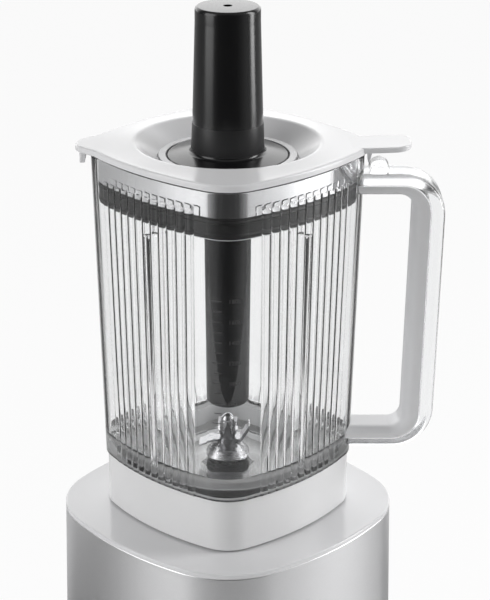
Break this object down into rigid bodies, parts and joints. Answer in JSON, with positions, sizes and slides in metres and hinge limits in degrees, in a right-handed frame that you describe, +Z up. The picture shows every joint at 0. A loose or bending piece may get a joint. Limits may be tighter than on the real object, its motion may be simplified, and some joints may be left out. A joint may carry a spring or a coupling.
{
  "type": "jug blender",
  "caption": "Countertop jug blender: satin metal motor base with a speed knob, clear reeded square jug with a loop handle, white lid and a black tamper through the lid.",
  "frame": {"origin": "on the drive axis, at the surface that the feet stand on", "axes": "+Z up along the drive axis, +X towards the handle, -Y towards the control panel"},
  "size_m": [0.2326, 0.2344, 0.5118],
  "materials": {
    "foot_rubber": "matt black rubber",
    "pan_plastic": "fine-grained dark grey",
    "shell_aluminium": "satin anodised",
    "deck_plastic": "glossy pale grey",
    "seal_rubber": "satin black",
    "screw_steel": "bright zinc",
    "motor_casting": "as cast",
    "bearing_steel": "ground",
    "motor_iron": "laminated",
    "motor_copper": "enamelled copper",
    "brush_brass": "pressed",
    "brush_carbon": "carbon",
    "board_green": "solder resist",
    "inner_plastic": "moulded black",
    "panel_plastic": "satin black",
    "knob_metal": "turned",
    "knob_face": "spun",
    "button_metal": "satin chrome",
    "shaft_steel": "ground",
    "jug_clear": "clear, polished",
    "grip_plastic": "pale grey, smooth",
    "white_plastic": "white gloss",
    "band_steel": "polished",
    "blade_steel": "polished, ground edges",
    "magnet": "nickel",
    "tamper_plastic": "black gloss"
  },
  "bodies": {
    "base": {"foot_pads": "foot_rubber", "base_pan": "pan_plastic", "base_shell": "shell_aluminium", "deck": "deck_plastic", "seat_pad": "seal_rubber", "well_seal": "seal_rubber", "tie_rods": "screw_steel", "motor_mounts": "seal_rubber", "mount_screws": "screw_steel", "upper_bracket": "motor_casting", "lower_bracket": "motor_casting", "motor_bolts": "screw_steel", "upper_bearing": "bearing_steel", "lower_bearing": "bearing_steel", "stator_core": "motor_iron", "field_coils": "motor_copper", "brush_holders": "brush_brass", "carbon_brushes": "brush_carbon", "fan_shroud": "pan_plastic", "power_board": "board_green", "cord_gland": "inner_plastic", "interlock_sensor": "inner_plastic", "control_panel": "panel_plastic", "control_board": "board_green"},
    "rotor": {"motor_shaft": "shaft_steel", "armature_core": "motor_iron", "armature_winding": "motor_copper", "commutator": "motor_copper", "cooling_fan": "inner_plastic", "drive_coupling": "inner_plastic"},
    "knob": {"control_knob": "knob_metal", "knob_trim": "knob_face", "knob_shaft": "shaft_steel"},
    "start": {"start_button": "button_metal"},
    "pulse": {"pulse_button": "button_metal"},
    "jug": {"jug_body": "jug_clear", "jug_collar": "white_plastic", "collar_screws": "screw_steel", "handle_shell": "jug_clear", "handle_grip": "grip_plastic", "handle_pins": "screw_steel", "blade_housing": "blade_steel", "housing_gasket": "seal_rubber", "housing_nut": "blade_steel", "blade_bearings": "bearing_steel", "shaft_seal": "seal_rubber", "interlock_magnet": "magnet"},
    "blades": {"blade_shaft": "shaft_steel", "lower_blade": "blade_steel", "upper_blade": "blade_steel", "blade_washer": "blade_steel", "blade_nut": "blade_steel", "jug_coupling": "inner_plastic"},
    "lid": {"lid_plate": "white_plastic", "lid_ring": "white_plastic", "plug_band": "band_steel", "lid_gasket": "seal_rubber"},
    "tamper": {"tamper_body": "tamper_plastic", "tamper_cap": "tamper_plastic"}
  },
  "joints": [
    {"name": "jug_lift", "type": "slide", "parent": "base", "child": "jug", "axis": [0, 0, 1], "range_m": [0, 0.06]},
    {"name": "lid_lift", "type": "slide", "parent": "jug", "child": "lid", "axis": [0, 0, 1], "range_m": [0, 0.04]},
    {"name": "tamper_lift", "type": "slide", "parent": "lid", "child": "tamper", "axis": [0, 0, 1], "range_m": [0, 0.175]},
    {"name": "motor_spin", "type": "hinge", "parent": "base", "child": "rotor", "pos_m": [0, 0, 0.1], "axis": [0, 0, 1], "continuous": true},
    {"name": "blade_spin", "type": "hinge", "parent": "jug", "child": "blades", "pos_m": [0, 0, 0.23], "axis": [0, 0, 1], "continuous": true},
    {"name": "knob_turn", "type": "hinge", "parent": "base", "child": "knob", "pos_m": [0, -0.11, 0.106], "axis": [0, 1, 0], "range_deg": [0, 270]},
    {"name": "start_press", "type": "slide", "parent": "base", "child": "start", "axis": [0, 1, 0], "range_m": [0, 0.0012], "stiffness_N_per_m": 800, "springref_m": -0.001},
    {"name": "pulse_press", "type": "slide", "parent": "base", "child": "pulse", "axis": [0, 1, 0], "range_m": [0, 0.0012], "stiffness_N_per_m": 800, "springref_m": -0.001}
  ],
  "couplings": [
    {"joint": "blade_spin", "follows": "motor_spin", "ratio": 1}
  ]
}
